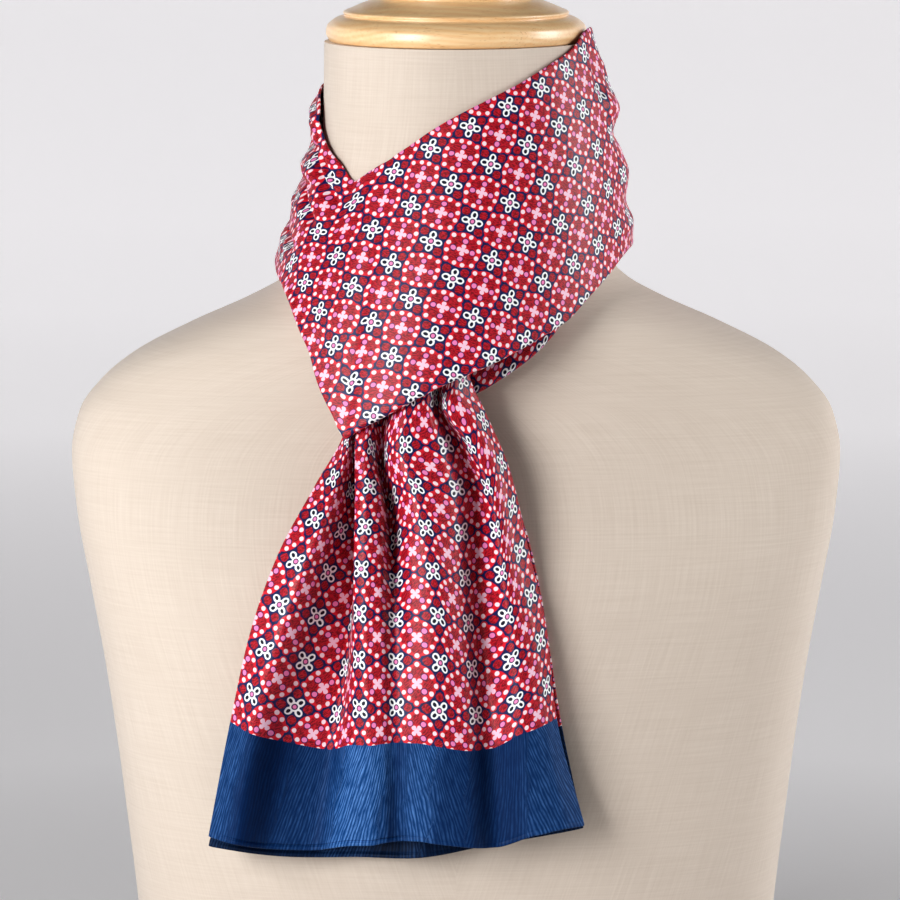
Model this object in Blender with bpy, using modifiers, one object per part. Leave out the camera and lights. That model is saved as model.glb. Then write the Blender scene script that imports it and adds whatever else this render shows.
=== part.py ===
"""Silk cravat, tied in a pull-through knot, on a limbless neck and chest form.

Metres, +Z up. The front faces -Y and +X is on the right of someone who faces it. The origin is the
centre of the form's flat underside. The cloth is one long tube of printed silk, folded in half and
put round the neck, with both ends pulled through the fold. Angles round the neck are in degrees:
0 at the front, positive toward +X, 180 at the nape. Tables are in millimetres.
"""

import math
from collections import namedtuple

import bpy
import numpy as np

MM = 0.001

# Driving dimensions of the dress form
NECK_TOP = 500 * MM
NECK_LEAN = math.radians(2.5)
LEAN_START = 430 * MM
FORM_SIDES = 40
CAP_SEAT_GAP = 0.3 * MM
CAP_SIDES = 40

# Driving dimensions of the cloth
WRAP_WALL = 1.2 * MM
TAIL_WALL = 1.2 * MM
SEAM_GAP = 0.45 * MM
SIDE_SEAM_ANGLE = 96.0
SEAM_RADIUS = 65 * MM
TURN_UNDER = math.radians(150)
TURN_FLAP = 3 * MM
TURN_STEPS = 3

FormRing = namedtuple("FormRing", "height half_width front back squareness")
FORM_RINGS = (
    FormRing(0, 150, 86, 92, 2.4),
    FormRing(60, 152, 89, 96, 2.4),
    FormRing(140, 160, 94, 101, 2.5),
    FormRing(200, 168, 96.5, 105, 2.5),
    FormRing(240, 175, 94.5, 107, 2.5),
    FormRing(280, 182, 83, 107, 2.5),
    FormRing(305, 184, 73.5, 105, 2.5),
    FormRing(325, 180, 68, 101, 2.45),
    FormRing(340, 169, 65.5, 97, 2.4),
    FormRing(352, 154, 64.5, 94, 2.4),
    FormRing(366, 127, 64, 89, 2.35),
    FormRing(378, 100, 63.7, 84, 2.25),
    FormRing(388, 82, 63.5, 80, 2.15),
    FormRing(396, 74, 63.3, 77, 2.1),
    FormRing(405, 70, 63.1, 74, 2.05),
    FormRing(418, 66.8, 63, 71, 2),
    FormRing(440, 64.2, 62.8, 67, 2),
    FormRing(470, 63.0, 62.6, 63.5, 2),
    FormRing(500, 62.5, 62.5, 62.5, 2),
)

# Turned cap of the neck, outline from the top of its button down to its flat underside
CapPoint = namedtuple("CapPoint", "radius height")
CAP_OUTLINE = (
    CapPoint(0, 47),
    CapPoint(6, 46.4),
    CapPoint(9.5, 43.5),
    CapPoint(9.5, 41),
    CapPoint(14, 38.5),
    CapPoint(22, 35.8),
    CapPoint(30, 32),
    CapPoint(35, 27.6),
    CapPoint(37, 23.4),
    CapPoint(36, 20.3),
    CapPoint(38.5, 19.8),
    CapPoint(44, 17.9),
    CapPoint(50, 15.4),
    CapPoint(53.6, 13.4),
    CapPoint(52.8, 12),
    CapPoint(55.4, 11.5),
    CapPoint(59.2, 9.4),
    CapPoint(61.4, 6.8),
    CapPoint(61.8, 3.8),
    CapPoint(60, 0),
    CapPoint(0, 0),
)

# The stretch round the neck. top: its upper edge. low: its lower fold. belly: how far its middle
# stands out. turn: radius of the lower fold.
WrapRow = namedtuple("WrapRow", "angle top_height top_radius low_height low_radius belly turn")
WRAP_ROWS = (
    WrapRow(-180, 494, 64.7, 408, 84, 2, 2.6),
    WrapRow(-135, 487, 64.7, 404, 84, 2, 2.6),
    WrapRow(-110, 481, 64.9, 400, 85, 0, 2.6),
    WrapRow(-90, 476, 65.2, 396, 86, -2, 2.6),
    WrapRow(-80, 470, 65.5, 393, 87, -1.5, 2.6),
    WrapRow(-72, 457, 66.5, 391, 89, 0, 2.6),
    WrapRow(-62, 448.5, 66.8, 387, 92.5, 1, 2.6),
    WrapRow(-55, 443.5, 66, 381, 95.5, 1.5, 2.6),
    WrapRow(-46.5, 436, 65.6, 367, 99.5, 2, 2.6),
    WrapRow(-42.5, 438, 65.4, 359, 101, 2.5, 2.4),
    WrapRow(-37.8, 441, 65.4, 344.5, 104, 3, 2.2),
    WrapRow(-32.6, 444, 65.3, 332, 106.5, 3.2, 2),
    WrapRow(-28.2, 446.5, 65.2, 321.5, 108, 3.2, 2),
    WrapRow(-25.8, 448.5, 65.2, 324.5, 107.8, 3.2, 2),
    WrapRow(-19.5, 453, 65, 331, 106.5, 3.2, 2),
    WrapRow(-11.1, 459.5, 64.9, 339.5, 104.3, 3.2, 2),
    WrapRow(-2.2, 465.5, 64.8, 347.5, 101.3, 3.2, 2),
    WrapRow(10, 472.5, 64.8, 355.5, 96, 3.5, 1.8),
    WrapRow(20.3, 478, 64.8, 362.5, 92, 3.5, 1.8),
    WrapRow(28, 482, 64.8, 368, 90, 4, 1.8),
    WrapRow(35, 486, 64.8, 372.7, 89, 4, 1.8),
    WrapRow(44.6, 491, 64.8, 382.5, 87.5, 4, 2),
    WrapRow(57.3, 497, 64.8, 392, 85.5, 4, 2.4),
    WrapRow(70, 505, 65, 399.5, 84.5, 3.5, 2.6),
    WrapRow(78, 506.5, 65, 402, 84.5, 3.5, 2.6),
    WrapRow(90, 501, 64.7, 403, 84.5, 3, 2.6),
    WrapRow(110, 499, 64.7, 405, 84.5, 3, 2.6),
    WrapRow(135, 498, 64.7, 407, 84.5, 3, 2.6),
    WrapRow(180, 494, 64.7, 408, 84, 2, 2.6),
)

# Largest folds pressed into the stretch round the neck, each a soft ridge (rise above 0) or trough
# (below 0) along a straight line over the cloth
WrapFold = namedtuple("WrapFold", "angle_a height_a angle_b height_b rise width")
WRAP_FOLDS = (
    WrapFold(64, 471, 112, 468, 3.2, 6),
    WrapFold(72, 457, 116, 456, -2.6, 5),
    WrapFold(70, 439, 118, 441, 1.8, 6),
    WrapFold(74, 425, 112, 424, -1.4, 5),
    WrapFold(62, 414, 110, 413, 1.5, 6),
    WrapFold(71, 500, 66, 462, -1.6, 4),
    WrapFold(-112, 466, -80, 460, 2.4, 5),
    WrapFold(-110, 447, -62, 439, -2.6, 5),
    WrapFold(-72, 448, -52, 424, 1.8, 5),
    WrapFold(-100, 434, -74, 421, -1.8, 4),
    WrapFold(-84, 420, -62, 399, 1.6, 5),
    WrapFold(150, 484, 215, 470, 2.4, 6),
    WrapFold(140, 466, 222, 452, -2.2, 6),
    WrapFold(146, 446, 218, 436, 2, 6),
    WrapFold(150, 428, 212, 421, -1.8, 5),
)

# The stretch that passes behind the hanging ends and shows below the front stretch on the right
UnderRow = namedtuple("UnderRow", "angle top_height top_radius low_height low_radius")
UNDER_ROWS = (
    UnderRow(-38, 402, 71, 350, 88),
    UnderRow(-25, 396, 69.5, 341, 81),
    UnderRow(-10, 394, 69, 337, 76),
    UnderRow(2, 395, 69, 337.5, 76.5),
    UnderRow(9, 398, 69.5, 341.5, 78),
    UnderRow(17, 402, 70, 348.5, 80.5),
    UnderRow(25, 407, 71, 356.5, 82.5),
    UnderRow(32, 412, 72, 365, 83),
    UnderRow(38, 417, 72.5, 373.5, 82.5),
    UnderRow(43, 421, 72.5, 379, 82),
)
UNDER_TURN = 2 * MM

# Hanging ends: x across and depth in front of the neck's axis at each station down their length
TAIL_STATIONS = ("tuck", "throat", "swell", "middle", "border", "hem")
STATION_LENGTH = (-14, 0, 18, 78, 154, 202)
StationHeight = namedtuple("StationHeight", "left centre right")
STATION_HEIGHTS = (
    StationHeight(343, 352, 359),
    StationHeight(329, 338, 344),
    StationHeight(320, 319, 323),
    StationHeight(267, 261.5, 261),
    StationHeight(192, 184, 194),
    StationHeight(139, 138.5, 145.5),
)
TailFold = namedtuple("TailFold", "name flat across depth")
TAIL_FOLDS = (
    TailFold("left_edge", 0, (-47, -50.5, -52, -81.5, -103.3, -113.6), (80, 82, 85.5, 102, 106.5, 105)),
    TailFold("left_lobe", 15, (-44.5, -47.8, -49.5, -70, -87.5, -99), (80.8, 83.8, 89, 112, 115, 112)),
    TailFold("valley_0", 38, (-41, -43.5, -46, -51, -71.4, -78), (79.8, 81.8, 84.8, 97.5, 108, 107)),
    TailFold("ridge_1_left", 55, (-40.5, -42.5, -45.6, -46.1, -45.2, -42), (84, 88, 96, 114, 119, 117)),
    TailFold("ridge_1_right", 62, (-36, -37.5, -40, -38.3, -34.7, -33), (84.5, 89, 98.5, 114, 119, 117)),
    TailFold("valley_1", 80, (-33, -35, -34.6, -27.5, -27, -26), (80, 83, 87, 105, 116.5, 116)),
    TailFold("ridge_2_left", 98, (-27, -29, -27.5, -20.1, -17.8, -19), (87, 94, 103, 116, 123, 121)),
    TailFold("ridge_2_right", 115, (-13, -15.5, -14.7, -4.8, -2, -4.7), (87, 94.5, 104, 117, 124, 122)),
    TailFold("valley_2", 135, (-9, -11, -5.7, 5.3, 8.5, 10.8), (79.8, 82.5, 87, 103, 114, 115)),
    TailFold("ridge_3", 155, (-2, -3.8, 3, 23, 26.6, 29.9), (86, 93, 102, 114, 120, 120)),
    TailFold("right_edge", 175, (4, 6.5, 14, 33, 45, 58.9), (79.8, 81.5, 86, 103, 111, 112)),
)
BACK_HEIGHTS = (
    StationHeight(343, 352, 359),
    StationHeight(329, 338, 344),
    StationHeight(320, 319, 323),
    StationHeight(267, 261.5, 261),
    StationHeight(186, 177, 189),
    StationHeight(132.5, 128.5, 142),
)
BACK_FOLDS = (
    TailFold("left_edge", 0, (-38, -42, -46, -75, -101, -113.9), (78, 80, 82, 92.5, 99.5, 100.5)),
    TailFold("ridge_a", 40, (-30, -34, -38, -52, -70, -80), (78.6, 81.2, 83.3, 95.5, 104.5, 104.5)),
    TailFold("valley_a", 70, (-20, -24, -26, -32, -38, -48), (78, 80, 81, 93.2, 100, 102.5)),
    TailFold("ridge_b", 105, (-12, -15, -15, -14, -13, -15), (78.6, 81.2, 83.2, 97, 109, 111)),
    TailFold("valley_b", 140, (-4, -6, -3, 8, 17, 18), (78, 80, 81.5, 94, 102, 104)),
    TailFold("right_edge", 175, (4, 6, 15.5, 36, 48, 58), (78, 79.8, 82, 96, 104, 105)),
)

Finish = namedtuple("Finish", "colour roughness")
FINISHES = {
    "linen": Finish((0.78, 0.70, 0.60), 0.9),
    "beech": Finish((0.80, 0.52, 0.26), 0.3),
    "print": Finish((0.55, 0.05, 0.07), 0.45),
    "navy": Finish((0.01, 0.05, 0.15), 0.45),
}


def clear_scene():
    for item in list(bpy.data.objects):
        bpy.data.objects.remove(item, do_unlink=True)


def make_material(name):
    finish = FINISHES[name]
    material = bpy.data.materials.new(name)
    material.use_nodes = True
    shader = material.node_tree.nodes["Principled BSDF"]
    shader.inputs["Base Color"].default_value = (*finish.colour, 1.0)
    shader.inputs["Roughness"].default_value = finish.roughness
    return material


def smooth_curve(keys, values):
    """A smooth curve through the points that never overshoots them, as a function of the key."""
    keys = np.asarray(keys, dtype=float)
    values = np.asarray(values, dtype=float)
    spans = np.diff(keys)
    slopes = np.diff(values) / spans
    tangents = np.zeros_like(values)
    tangents[0] = slopes[0]
    tangents[-1] = slopes[-1]
    for index in range(1, len(values) - 1):
        before = slopes[index - 1]
        after = slopes[index]
        if before * after > 0:
            weight_before = 2 * spans[index] + spans[index - 1]
            weight_after = spans[index] + 2 * spans[index - 1]
            total = weight_before + weight_after
            tangents[index] = total / (weight_before / before + weight_after / after)

    def at(key):
        span = int(np.clip(np.searchsorted(keys, key) - 1, 0, len(spans) - 1))
        width = spans[span]
        part = (key - keys[span]) / width
        rise = values[span + 1] - values[span]
        start = tangents[span] * width
        end = tangents[span + 1] * width
        cubic = start + end - 2 * rise
        square = 3 * rise - 2 * start - end
        return float(values[span] + part * (start + part * (square + part * cubic)))

    return at


def table_curves(rows, key):
    """One smooth curve for each other column of a table, against its key column."""
    keys = [getattr(row, key) for row in rows]
    columns = [name for name in rows[0]._fields if name != key]
    return {name: smooth_curve(keys, [getattr(row, name) for row in rows]) for name in columns}


def spread(stops, step):
    """The stops, with even values between them no further apart than the step."""
    values = [stops[0]]
    for start, end in zip(stops, stops[1:]):
        count = max(1, math.ceil((end - start) / step - 1e-6))
        values += [start + (end - start) * index / count for index in range(1, count + 1)]
    return values


def link_object(name, mesh, material, collection, parent):
    item = bpy.data.objects.new(name, mesh)
    item.data.materials.append(material)
    item.parent = parent
    collection.objects.link(item)
    return item


def grid_mesh(name, rows, closed=False):
    """A mesh of quads over rows of points; each row runs toward +X seen from the front."""
    width = len(rows[0])
    points = [point for row in rows for point in row]
    faces = []
    for upper in range(len(rows) - 1):
        for left in range(width if closed else width - 1):
            right = (left + 1) % width
            faces.append((upper * width + left, (upper + 1) * width + left,
                          (upper + 1) * width + right, upper * width + right))
    mesh = bpy.data.meshes.new(name)
    mesh.from_pydata(points, [], faces)
    mesh.shade_smooth()
    return mesh


def cloth_wall(item, thickness):
    """Gives an open surface its wall, on the side away from the viewer."""
    wall = item.modifiers.new("wall", "SOLIDIFY")
    wall.thickness = thickness
    wall.offset = -1
    wall.use_even_offset = False
    wall.use_rim = True


# Dress form

def form_ring_point(ring, turn):
    """A point of the form's outline at one height, by its angle round the neck."""
    half_width, front, back, squareness = ring
    side = math.sin(turn)
    ahead = math.cos(turn)
    power = 2 / squareness
    x = half_width * math.copysign(abs(side) ** power, side)
    reach = front if ahead > 0 else back
    y = -reach * math.copysign(abs(ahead) ** power, ahead)
    return x * MM, y * MM


def build_form_torso(material, collection, parent):
    curves = table_curves(FORM_RINGS, "height")
    heights = spread([row.height for row in FORM_RINGS], 31)
    rows = []
    for height in reversed(heights):
        ring = [curves[name](height) for name in FormRing._fields[1:]]
        lean = max(0.0, (height * MM - LEAN_START) / (NECK_TOP - LEAN_START)) * math.tan(NECK_LEAN)
        row = []
        for side in range(FORM_SIDES):
            x, y = form_ring_point(ring, 2 * math.pi * side / FORM_SIDES)
            row.append((x, y, height * MM + y * lean))
        rows.append(row)
    mesh = grid_mesh("form_torso", rows, closed=True)
    return close_ends(mesh, len(heights), material, collection, parent)


def close_ends(mesh, ring_count, material, collection, parent):
    """Closes the top and bottom ring of the form's loft with one flat face each."""
    points = [tuple(vertex.co) for vertex in mesh.vertices]
    faces = [tuple(face.vertices) for face in mesh.polygons]
    faces.append(tuple(range(FORM_SIDES)))
    last = (ring_count - 1) * FORM_SIDES
    faces.append(tuple(range(last + FORM_SIDES - 1, last - 1, -1)))
    mesh.clear_geometry()
    mesh.from_pydata(points, [], faces)
    mesh.shade_smooth()
    mesh.set_sharp_from_angle(angle=math.radians(50))
    return link_object("form_torso", mesh, material, collection, parent)


def build_neck_cap(material, collection, parent):
    points = [(row.radius * MM, 0, row.height * MM) for row in CAP_OUTLINE]
    edges = [(index, index + 1) for index in range(len(points) - 1)]
    mesh = bpy.data.meshes.new("form_neck_cap")
    mesh.from_pydata(points, edges, [])
    cap = link_object("form_neck_cap", mesh, material, collection, parent)
    turned = cap.modifiers.new("turned", "SCREW")
    turned.steps = CAP_SIDES
    turned.render_steps = CAP_SIDES
    turned.use_merge_vertices = True
    turned.merge_threshold = 0.00005
    turned.use_smooth_shade = True
    cap.rotation_euler.x = NECK_LEAN
    cap.location = (0, -math.sin(NECK_LEAN) * CAP_SEAT_GAP, NECK_TOP + math.cos(NECK_LEAN) * CAP_SEAT_GAP)
    return cap


# Stretch round the neck

def polar_point(angle, radius, height):
    turn = math.radians(angle)
    return radius * math.sin(turn), -radius * math.cos(turn), height


def fold_rise(angle, height, radius):
    """How far the pressed folds move the cloth out at one place, in metres."""
    total = 0.0
    for fold in WRAP_FOLDS:
        for turn in (-360, 0, 360):
            along = np.array([math.radians(fold.angle_b - fold.angle_a) * radius,
                              (fold.height_b - fold.height_a) * MM])
            offset = np.array([math.radians(angle + turn - fold.angle_a) * radius,
                               height - fold.height_a * MM])
            length = float(np.hypot(*along))
            part = float(offset @ along) / length ** 2
            aside = float(offset[0] * along[1] - offset[1] * along[0]) / length
            fade = math.exp(-(max(0.0, abs(part - 0.5) - 0.35) / 0.14) ** 2)
            total += fold.rise * MM * fade * math.exp(-(aside / (fold.width * MM)) ** 2)
    return total


def turned_under(radius, height, down, turn):
    """Points of a lower edge that turns in and up behind the cloth, as a round fold and a flap."""
    inward = (down[1], -down[0])
    centre = (radius + inward[0] * turn, height + inward[1] * turn)
    points = []
    for step in range(1, TURN_STEPS + 1):
        swing = TURN_UNDER * step / TURN_STEPS
        points.append((centre[0] + turn * (down[0] * math.sin(swing) - inward[0] * math.cos(swing)),
                       centre[1] + turn * (down[1] * math.sin(swing) - inward[1] * math.cos(swing))))
    heading = (down[0] * math.cos(TURN_UNDER) + inward[0] * math.sin(TURN_UNDER),
               down[1] * math.cos(TURN_UNDER) + inward[1] * math.sin(TURN_UNDER))
    last = points[-1]
    points.append((last[0] + heading[0] * TURN_FLAP, last[1] + heading[1] * TURN_FLAP))
    return points


def wrap_profile(curves, angle, steps):
    """The wrap's section at one angle: radius and height from its top edge to its turned flap."""
    top_height, top_radius, low_height, low_radius, belly, turn = (
        curves[name](angle) * MM for name in WrapRow._fields[1:])
    low_height += turn
    points = []
    for step in range(steps + 1):
        part = step / steps
        height = top_height + (low_height - top_height) * part
        radius = top_radius + (low_radius - top_radius) * part + belly * math.sin(math.pi * part)
        settle = math.sin(math.pi * min(1.0, part * 1.6, (1 - part) * 4) / 2)
        radius += fold_rise(angle, height, radius) * settle
        points.append((radius, height))
    fall = np.subtract(points[-1], points[-2])
    down = fall / np.hypot(*fall)
    return points + turned_under(*points[-1], down, turn)


def build_wrap(name, angles, steps, material, collection, parent):
    curves = table_curves(WRAP_ROWS, "angle")
    columns = []
    for angle in angles:
        home = angle if angle <= 180 else angle - 360
        profile = wrap_profile(curves, home, steps)
        columns.append([polar_point(home, radius, height) for radius, height in profile])
    item = link_object(name, grid_mesh(name, list(zip(*columns))), material, collection, parent)
    cloth_wall(item, WRAP_WALL)
    return item


def seam_angle(side):
    """The side seam's angle, moved by half the seam's gap to one side of it."""
    return SIDE_SEAM_ANGLE + side * math.degrees(SEAM_GAP / 2 / SEAM_RADIUS)


def build_wraps(material, collection, parent):
    front_stops = [row.angle for row in WRAP_ROWS if abs(row.angle) < seam_angle(-1)]
    front_angles = spread([-seam_angle(-1), *front_stops, seam_angle(-1)], 5.2)
    build_wrap("wrap_front", front_angles, 11, material, collection, parent)
    back_angles = spread([seam_angle(1), 360 - seam_angle(1)], 7)
    build_wrap("wrap_back", back_angles, 9, material, collection, parent)


def build_under(material, collection, parent):
    curves = table_curves(UNDER_ROWS, "angle")
    steps = 5
    columns = []
    for angle in spread([row.angle for row in UNDER_ROWS], 5):
        top_height, top_radius, low_height, low_radius = (
            curves[name](angle) * MM for name in UnderRow._fields[1:])
        low_height += UNDER_TURN
        profile = [(top_radius + (low_radius - top_radius) * step / steps,
                    top_height + (low_height - top_height) * step / steps) for step in range(steps + 1)]
        fall = np.subtract(profile[-1], profile[-2])
        profile += turned_under(*profile[-1], fall / np.hypot(*fall), UNDER_TURN)
        columns.append([polar_point(angle, radius, height) for radius, height in profile])
    mesh = grid_mesh("wrap_under", list(zip(*columns)))
    cloth_wall(link_object("wrap_under", mesh, material, collection, parent), WRAP_WALL)


# Hanging ends

def tail_surface(folds, heights):
    """A hanging end as a function of flat place across and length down, both in millimetres."""
    flats = [fold.flat for fold in folds]
    across = [smooth_curve(STATION_LENGTH, fold.across) for fold in folds]
    depth = [smooth_curve(STATION_LENGTH, fold.depth) for fold in folds]
    sides = [smooth_curve(STATION_LENGTH, [getattr(row, side) for row in heights])
             for side in StationHeight._fields]

    def row(length, places):
        x_across = smooth_curve(flats, [curve(length) for curve in across])
        y_depth = smooth_curve(flats, [curve(length) for curve in depth])
        left, centre, right = (curve(length) for curve in sides)
        points = []
        for place in places:
            part = 2 * place / flats[-1] - 1
            height = centre + part * (right - left) / 2 + part ** 2 * ((right + left) / 2 - centre)
            points.append((x_across(place) * MM, -y_depth(place) * MM, height * MM))
        return points

    return row


def build_tail(name, folds, heights, detail, materials, collection, parent):
    """A hanging end and its navy band, which meet at the border with the seam's gap."""
    row = tail_surface(folds, heights)
    places = spread([fold.flat for fold in folds], detail)
    half_gap = SEAM_GAP / 2 / MM
    tuck, *_, border, hem = STATION_LENGTH
    printed = spread([tuck, 0, 9, 18, 36, 78, border - half_gap], 20)
    banded = spread([border + half_gap, hem], 16)
    for node, lengths, material in ((name, printed, materials["print"]),
                                    (name + "_band", banded, materials["navy"])):
        mesh = grid_mesh(node, [row(length, places) for length in lengths])
        cloth_wall(link_object(node, mesh, material, collection, parent), TAIL_WALL)


def main():
    clear_scene()
    collection = bpy.data.collections.new("silk_cravat_on_form")
    bpy.context.scene.collection.children.link(collection)
    anchor = bpy.data.objects.new("cravat_origin", None)
    collection.objects.link(anchor)
    materials = {name: make_material(name) for name in FINISHES}
    build_form_torso(materials["linen"], collection, anchor)
    build_neck_cap(materials["beech"], collection, anchor)
    build_wraps(materials["print"], collection, anchor)
    build_under(materials["print"], collection, anchor)
    build_tail("tail_front", TAIL_FOLDS, STATION_HEIGHTS, 4.6, materials, collection, anchor)
    build_tail("tail_back", BACK_FOLDS, BACK_HEIGHTS, 8, materials, collection, anchor)


main()
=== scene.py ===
"""Looks of the silk cravat on its dress form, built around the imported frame.

Metres, +Z up, the front toward -Y and +X on the viewer's right. Each piece of cloth is a fine thin
shell in the place of its solid. The shells come from short tables in millimetres, as the solids do,
with more creases, and they carry a flat chart of the cloth, so that the print lies on them as it lay
on the cut cloth. Angles round the neck are in degrees: 0 at the front, positive toward +X.
"""

import math
from collections import namedtuple

import bmesh
import bpy
import numpy as np
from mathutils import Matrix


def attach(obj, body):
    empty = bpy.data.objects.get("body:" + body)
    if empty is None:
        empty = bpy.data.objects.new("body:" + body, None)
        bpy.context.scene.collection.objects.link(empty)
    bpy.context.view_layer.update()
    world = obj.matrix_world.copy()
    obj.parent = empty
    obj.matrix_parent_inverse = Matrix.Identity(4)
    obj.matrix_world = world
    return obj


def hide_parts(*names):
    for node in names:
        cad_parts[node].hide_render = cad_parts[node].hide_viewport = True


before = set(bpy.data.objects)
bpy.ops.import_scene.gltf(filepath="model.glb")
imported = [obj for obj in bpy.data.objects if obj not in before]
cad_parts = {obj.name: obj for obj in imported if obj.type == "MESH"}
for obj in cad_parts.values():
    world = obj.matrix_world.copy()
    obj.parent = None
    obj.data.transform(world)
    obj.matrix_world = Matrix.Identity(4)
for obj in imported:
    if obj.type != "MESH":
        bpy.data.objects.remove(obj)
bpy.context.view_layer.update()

MM = 0.001
BODY = "root"


def table(columns, *rows):
    """Rows of numbers under named columns."""
    Row = namedtuple("Row", columns)
    return [Row(*row) for row in rows]


# Camera: it looks at a point on the neck's axis from the front, a little from above
IMAGE_SIDE = 900
PIXEL_SIZE = 0.48 * MM
CAMERA_DISTANCE = 2.0
CAMERA_PITCH = math.radians(7)
CAMERA_TARGET = (-2.9 * MM, 0, 304.5 * MM)
SENSOR = 36.0

# Stage, in metres: the paper's outline out from the middle and up, its glow, and the lights
COVE_OUTLINE = ((0, 0), (0.4, 0), (0.8, 0), (1.4, 0), (2.4, 0), (4.2, 0), (5.2, 0.08), (5.8, 0.35),
                (6.1, 0.8), (6.2, 1.4), (6.2, 2.2), (6.2, 3.2))
COVE_SIDES = 96
PAPER_GLOW = 0.62
WORLD_STRENGTH = 0.01
LIT_HEIGHT = 0.32
SOFT_BOXES = table(
    "name azimuth elevation away width height power",
    ("left_box", -42, 12, 1.5, 0.6, 0.8, 18.5),
    ("right_box", 88, 20, 1.5, 0.6, 1.0, 14),
)

# Dress form
NECK_TOP = 500 * MM
NECK_LEAN = math.radians(2.5)
LEAN_START = 430 * MM
FORM_SIDES = 192
CAP_SEAT_GAP = 0.3 * MM
CAP_SIDES = 160

# Cloth
CLOTH_WALL = 1.1 * MM
TURN_UNDER = math.radians(150)
TURN_FLAP = 3 * MM
TURN_STEPS = 8
FLAP_STEPS = 3
RIM_STEPS = 4
WRAP_CLEARANCE = 0.4 * MM
TAIL_CLEARANCE = 0.5 * MM
WRAP_STEPS = 92
PRINT_REPEAT = 20.0

FORM_RINGS = table(
    "height half_width front back squareness",
    (0, 150, 86, 92, 2.4),
    (60, 152, 89, 96, 2.4),
    (140, 160, 94, 101, 2.5),
    (200, 168, 96.5, 105, 2.5),
    (240, 175, 94.5, 107, 2.5),
    (280, 182, 83, 107, 2.5),
    (305, 184, 73.5, 105, 2.5),
    (325, 180, 68, 101, 2.45),
    (340, 169, 65.5, 97, 2.4),
    (352, 154, 64.5, 94, 2.4),
    (366, 127, 64, 89, 2.35),
    (378, 100, 63.7, 84, 2.25),
    (388, 82, 63.5, 80, 2.15),
    (396, 74, 63.3, 77, 2.1),
    (405, 70, 63.1, 74, 2.05),
    (418, 66.8, 63, 71, 2),
    (440, 64.2, 62.8, 67, 2),
    (470, 63.0, 62.6, 63.5, 2),
    (500, 62.5, 62.5, 62.5, 2),
)

# Rounded lower edge: heights, and how far in the cover lies there
FORM_EDGE = ((0, 3), (0.4, 1.4), (1.5, 0.4), (3, 0))

# Turned cap: radius and height from the top of its button down to its flat underside
CAP_OUTLINE = (
    (0, 47), (6, 46.4), (9.5, 43.5), (9.5, 41), (14, 38.5), (22, 35.8), (30, 32), (35, 27.6),
    (37, 23.4), (36, 20.3), (38.5, 19.8), (44, 17.9), (50, 15.4), (53.6, 13.4), (52.8, 12),
    (55.4, 11.5), (59.2, 9.4), (61.4, 6.8), (61.8, 3.8), (60, 0), (0, 0),
)

# Points of that outline where it turns sharply, the step between its fine points, and the width of
# the wood's growth rings
CAP_CORNERS = (0, 3, 9, 14, 19, 20)
CAP_STEP = 0.7
RING_PITCH = 4.2 * MM

# The stretch round the neck. top: its upper edge. low: its lower fold. belly: how far its middle
# stands out. turn: radius of the lower fold.
WRAP_COLUMNS = "angle top_height top_radius low_height low_radius belly turn"
WRAP_ROWS = table(
    WRAP_COLUMNS,
    (-180, 494, 64.7, 408, 84, 2, 2.6),
    (-135, 487, 64.7, 404, 84, 2, 2.6),
    (-110, 481, 64.9, 400, 85, 0, 2.6),
    (-90, 476, 65.2, 396, 86, -2, 2.6),
    (-80, 470, 65.5, 393, 87, -1.5, 2.6),
    (-72, 457, 66.5, 391, 89, 0, 2.6),
    (-62, 448.5, 66.8, 387, 92.5, 1, 2.6),
    (-55, 443.5, 66, 381, 95.5, 1.5, 2.6),
    (-46.5, 436, 65.6, 367, 99.5, 2, 2.6),
    (-42.5, 438, 65.4, 359, 101, 2.5, 2.4),
    (-37.8, 441, 65.4, 344.5, 104, 3, 2.2),
    (-32.6, 444, 65.3, 332, 106.5, 3.2, 2),
    (-28.2, 446.5, 65.2, 321.5, 108, 3.2, 2),
    (-25.8, 448.5, 65.2, 324.5, 107.8, 3.2, 2),
    (-19.5, 453, 65, 331, 106.5, 3.2, 2),
    (-11.1, 459.5, 64.9, 339.5, 104.3, 3.2, 2),
    (-2.2, 465.5, 64.8, 347.5, 101.3, 3.2, 2),
    (10, 472.5, 64.8, 355.5, 96, 3.5, 1.8),
    (20.3, 478, 64.8, 362.5, 92, 3.5, 1.8),
    (28, 482, 64.8, 368, 90, 4, 1.8),
    (35, 486, 64.8, 372.7, 89, 4, 1.8),
    (44.6, 491, 64.8, 382.5, 87.5, 4, 2),
    (57.3, 497, 64.8, 392, 85.5, 4, 2.4),
    (70, 505, 65, 399.5, 84.5, 3.5, 2.6),
    (78, 506.5, 65, 402, 84.5, 3.5, 2.6),
    (90, 501, 64.7, 403, 84.5, 3, 2.6),
    (110, 499, 64.7, 405, 84.5, 3, 2.6),
    (135, 498, 64.7, 407, 84.5, 3, 2.6),
    (180, 494, 64.7, 408, 84, 2, 2.6),
)

# Angles from which the columns of points stand that many degrees apart
WRAP_COLUMN_STEPS = ((-180, 1.2), (-115, 0.7), (-85, 0.5), (-20, 0.8), (60, 0.6), (110, 1.2), (180, 0))

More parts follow.
